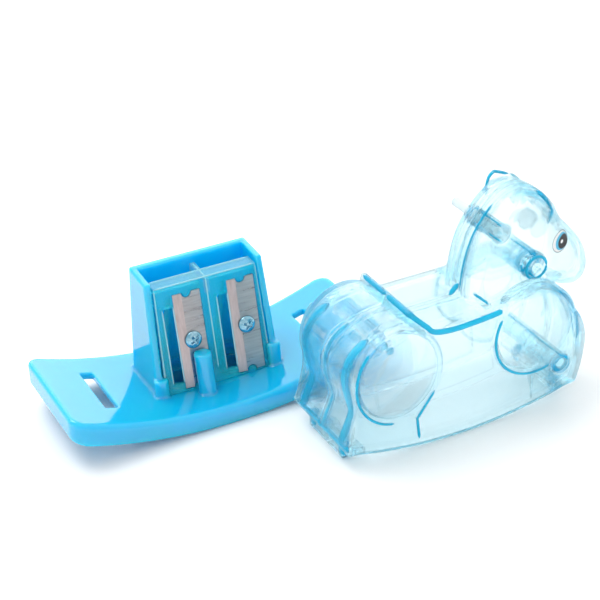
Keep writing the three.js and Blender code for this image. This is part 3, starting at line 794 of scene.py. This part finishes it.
def build_edges():
    """Thick rims where the colour of the clear plastic shows."""
    sag = Outline(-9.8, 31.2).curve(-8.6, 29.2, -3, 29.2, 1, 29.4).curve(5, 29.6, 7.5, 29.8, 9.8, 30.2).p
    near = straight((-13.8, -0.4, 35.2), (-13.8, -9.9, 35.1), (-9.9, -12.0, 31.4))
    near += [np.array((x, -12.25, z)) for x, z in sag]
    bead("saddle_lip_right", near, 0.66, EDGE_BLUE)
    bead("saddle_lip_left", straight((-13.8, 10.4, 35.2), (-13.8, 0.4, 35.2)), 0.5, EDGE_BLUE)
    bead("saddle_step_line", straight((7.4, -3.8, 31.5), (7.4, -10, 31.5)), 0.34, EDGE_BLUE)
    chest = [(x - 0.2, -7.5, z - 0.2) for x, z in torso_outline() if x > 23.5 and 14 < z < 31.2]
    bead("chest_rim", chest, 0.6, EDGE_BLUE)
    ear = np.array(ear_outline())
    back, front = ear[(ear[:, 0] < 22) & (ear[:, 1] > 50)], ear[(ear[:, 0] > 22) & (ear[:, 1] > 45.2)]
    bead("ear_back", [(x, EAR_Y, z - 0.4) for x, z in back], 0.38, EDGE_BLUE)
    bead("rear_foot_line", straight((-30.8, 11.4, 5.2), (-30.8, -11.8, 5.2)), 0.6, EDGE_CLEAR)
    skirt = [(x, -12.6, skirt_z(x) + 0.45) for x in np.linspace(-29.5, 30, 40)]
    bead("skirt_line", skirt, 0.3, EDGE_PALE)
    x, z = REAR_PIN
    bead("rear_pin_tip", straight((x, -8.0, z), (x, -9.7, z)), 1.05, EDGE_BLUE)
    bead("front_pin_rim", ring(FRONT_PIN[0], -11.2, FRONT_PIN[1], 2.1), 0.35, EDGE_BLUE)
    for side, tag in ((-1, "right"), (1, "left")):
        line = EDGE_BLUE if side < 0 else EDGE_PALE
        bead(f"thigh_rim_{tag}", disc_arc(THIGH, side, 135, 262), 0.34, line)
        bead(f"shoulder_rim_{tag}", disc_arc(SHOULDER, side, 150, 292), 0.34, line)
        leg = straight((-8.9, 13.3 * side, 15.2), (-13.4, 13.3 * side, 9), (-12.7, 13.3 * side, 3.2))
        bead(f"hind_leg_line_{tag}", leg, 0.38, line)
        bead(f"ear_front_{tag}", [(x - 0.3, EAR_Y * side, z) for x, z in front], 0.5, line)
        for x, where in ((-SLOT_X, "rear"), (SLOT_X, "front")):
            z = skirt_z(SLOT_X)
            core = straight((x, 6.85 * side, z - 3.4), (x, 6.85 * side, z + 0.9))
            bead(f"tab_core_{where}_{tag}", core, 1.22, EDGE_CLEAR)
    crest = [(x + 0.9, -1.2, z) for x, z in neck_outline() if x < 14 and 30 < z < 52]
    bead("neck_seam_right", crest, 0.4, EDGE_BLUE)
    far_crest = [(x + 0.9, 1.2, z) for x, z in neck_outline() if x < 12 and 31 < z < 50]
    bead("neck_seam_left", far_crest, 0.3, EDGE_PALE)
    bead("neck_foot", straight((2.6, -1.0, 30.9), (5.0, -1.0, 33.4)), 0.6, EDGE_BLUE)
    rump = [(x, z) for x, z in torso_outline() if x < -24 and 5 < z < 31.5]
    bead("rump_rim_right", [(x + 1.1, -9.4, z) for x, z in rump], 1.0, EDGE_SOFT)
    bead("rump_seam", [(x + 0.9, -1.0, z) for x, z in rump], 0.5, EDGE_SOFT)
    bead("rump_rim_left", [(x + 1.2, 8.8, z) for x, z in rump], 1.15, EDGE_SOFT)
    build_tube_lines("head_boss", HEAD_BOSS, 2.75, -7.4, 5.8)
    build_tube_lines("rod_sleeve", ROD, 1.95, -5.4, 5.4)
    build_tube_lines("front_pin", FRONT_PIN, 2.15, -10.9, 11.2)
    build_tube_lines("rear_pin", REAR_PIN, 1.75, -3.6, 12.4)
    bead("boss_rim", ring(HEAD_BOSS[0], -7.8, HEAD_BOSS[1], 2.8), 0.36, EDGE_BLUE)
    bead("boss_collar", ring(HEAD_BOSS[0], -3.4, HEAD_BOSS[1], 2.4), 0.7, EDGE_CLEAR)
    bead("sleeve_collar", ring(ROD[0], 4.6, ROD[1], 1.9), 0.35, EDGE_BLUE)


def rod_profile():
    """Radius and Y of the rod from its inner end to its outer end."""
    points = [(0, -3.7)]
    for a in np.linspace(0, math.pi / 2, 5):
        points.append((1.15 - 0.25 * (1 - math.sin(a)), -3.45 - 0.25 * math.cos(a)))
    points += [(1.12, 5.0), (1.15, 5.4), (1.12, 5.8)]
    for a in np.linspace(0, math.pi / 2, 7):
        points.append((1.15 - 0.5 * (1 - math.cos(a)), 13.35 + 0.5 * math.sin(a)))
    return points + [(0, 13.85)]


def build_rod():
    n = 40
    x, z = ROD
    profile = rod_profile()
    verts, faces = [], []
    for r, y in profile:
        r = max(r, 0.01)
        for k in range(n):
            a = 2 * math.pi * k / n
            verts.append((x + r * math.cos(a), y, z + r * math.sin(a)))
    for i in range(len(profile) - 1):
        for k in range(n):
            after = (k + 1) % n
            faces.append((i * n + k, i * n + after, (i + 1) * n + after, (i + 1) * n + k))
    faces = np.array(faces)[:, ::-1]
    home = {"body": "shell", "node": "handle_rod", "slot": "rod_plastic", "shift": SHELL_AT}
    return make_object("handle_bar", verts, faces, material=ROD_MILKY, **home)


# ---- printed eyes -----------------------------------------------------------------------------------
def head_side(x, z):
    """Half width of the head's outside at a point, where it is nearly flat."""
    neck2 = polygon_field(neck_outline(), np.asarray(x, float), np.asarray(z, float))
    t = np.clip((np.asarray(x, float) - 25) / 14, 0, 1)
    half = 7.2 - 1.7 * t * t * (3 - 2 * t)
    q = np.maximum(neck2 + 4.4, 0)
    return half - 4.4 + np.sqrt(np.maximum(4.4 ** 2 - q * q, 0))


def eye_patch(name, side, cx, cz, rx, rz, tilt, lift, material, hole=0.0):
    """A thin oval print laid on the side of the head, with a hole in it if wanted."""
    rings, spokes = 10, 56
    verts, faces = [], []
    for i in range(rings + 1):
        s = hole + (1 - hole) * i / rings
        for k in range(spokes):
            a = 2 * math.pi * k / spokes
            u, w = rx * s * math.cos(a), rz * s * math.sin(a)
            x = cx + u * math.cos(tilt) - w * math.sin(tilt)
            z = cz + u * math.sin(tilt) + w * math.cos(tilt)
            verts.append((x, 0.0, z))
    for i in range(rings):
        for k in range(spokes):
            faces.append((i * spokes + k, i * spokes + (k + 1) % spokes,
                          (i + 1) * spokes + (k + 1) % spokes, (i + 1) * spokes + k))
    verts = np.array(verts)
    verts[:, 1] = side * (head_side(verts[:, 0], verts[:, 2]) + lift)
    faces = np.array(faces)
    if side > 0:
        faces = faces[:, ::-1]
    return make_object(name, verts, faces, "shell", None, "shell_plastic", material, shift=SHELL_AT)


BLACK = printed("print_black", (0.012, 0.012, 0.015))
WHITE = printed("print_white", (0.90, 0.92, 0.93))
CYAN = printed("print_cyan", (0.08, 0.52, 0.78))


def build_eyes():
    for side, tag in ((-1, "right"), (1, "left")):
        x, z = EYE
        tilt = math.radians(-8)
        eye_patch(f"eye_white_{tag}", side, x, z, 2.4, 2.7, tilt, 0.03, WHITE)
        eye_patch(f"eye_iris_{tag}", side, x + 0.45, z - 0.1, 1.9, 2.25, tilt, 0.05, CYAN)
        eye_patch(f"eye_pupil_{tag}", side, x + 0.85, z - 0.25, 1.5, 1.85, tilt, 0.07, BLACK)
        eye_patch(f"eye_glint_{tag}", side, x + 0.45, z - 0.1, 0.4, 0.5, tilt, 0.09, WHITE)
        eye_patch(f"eye_line_{tag}", side, x, z, 2.5, 2.8, tilt, 0.08, BLACK, hole=0.95)


# ---- build ------------------------------------------------------------------------------------------
build_base()
build_insert()
build_blade(0, "blade_left_plate")
build_blade(1, "blade_right_plate")
build_screw(0, "blade_screw_left_head", 0.5)
build_screw(1, "blade_screw_right_head", 1.1)
build_shell(-1, "shell_right", "shell_right_half")
build_shell(1, "shell_left", "shell_left_half")
build_insert_lines()
build_edges()
build_rod()
build_eyes()


# ---- floor, light and camera --------------------------------------------------------------------------
def build_floor():
    mesh = bpy.data.meshes.new("floor")
    s = 3.0
    n = 12
    verts = [(-s + 2 * s * i / n, -s + 2 * s * j / n, 0) for j in range(n + 1) for i in range(n + 1)]
    faces = [(j * (n + 1) + i, j * (n + 1) + i + 1, (j + 1) * (n + 1) + i + 1, (j + 1) * (n + 1) + i)
             for j in range(n) for i in range(n)]
    mesh.from_pydata(verts, [], faces)
    floor = bpy.data.objects.new("floor", mesh)
    bpy.context.scene.collection.objects.link(floor)
    m, nt, shader, out = new_material("floor_white")
    pale = tinted(nt, noise(nt, place(nt), 8, 2), (0.93, 0.93, 0.93), (0.95, 0.95, 0.95))
    nt.links.new(pale, shader.inputs["Base Color"])
    shader.inputs["Roughness"].default_value = 0.5
    shader.inputs["Specular IOR Level"].default_value = 0.2
    mesh.materials.append(m)


def area(name, loc, target, size, power):
    light = bpy.data.lights.new(name, "AREA")
    light.shape = "RECTANGLE"
    light.size, light.size_y = size
    light.energy = power
    obj = bpy.data.objects.new(name, light)
    obj.location = loc
    obj.rotation_euler = (Vector(target) - Vector(loc)).to_track_quat("-Z", "Y").to_euler()
    bpy.context.scene.collection.objects.link(obj)


def build_light():
    world = bpy.data.worlds.new("studio")
    world.use_nodes = True
    bpy.context.scene.world = world
    bg = world.node_tree.nodes["Background"]
    bg.inputs["Color"].default_value = (1.0, 1.0, 1.0, 1)
    bg.inputs["Strength"].default_value = 0.95
    centre = (0.025, -0.02, 0.02)
    area("key", (-0.20, 0.25, 0.70), centre, (0.5, 0.5), 3.0)
    area("back", (0.40, 0.76, 0.52), centre, (1.1, 0.7), 2.5)


def build_camera():
    az, el, roll = (math.radians(a) for a in (-27.134, 30.338, -1.575))
    back = Vector((math.sin(az) * math.cos(el), -math.cos(az) * math.cos(el), math.sin(el)))
    right = Vector((math.cos(az), math.sin(az), 0))
    up = back.cross(right)
    r = right * math.cos(roll) + up * math.sin(roll)
    u = up * math.cos(roll) - right * math.sin(roll)
    cam = bpy.data.cameras.new("camera")
    cam.sensor_width = 36
    cam.lens = 36 * 1560.5 / 600
    cam.clip_start, cam.clip_end = 0.01, 20
    obj = bpy.data.objects.new("camera", cam)
    m = Matrix((r, u, back)).transposed().to_4x4()
    m.translation = Vector((-0.1275, -0.2987, 0.2141))
    obj.matrix_world = m
    bpy.context.scene.collection.objects.link(obj)
    bpy.context.scene.camera = obj


build_floor()
build_light()
build_camera()
bpy.context.scene.view_settings.view_transform = "Standard"
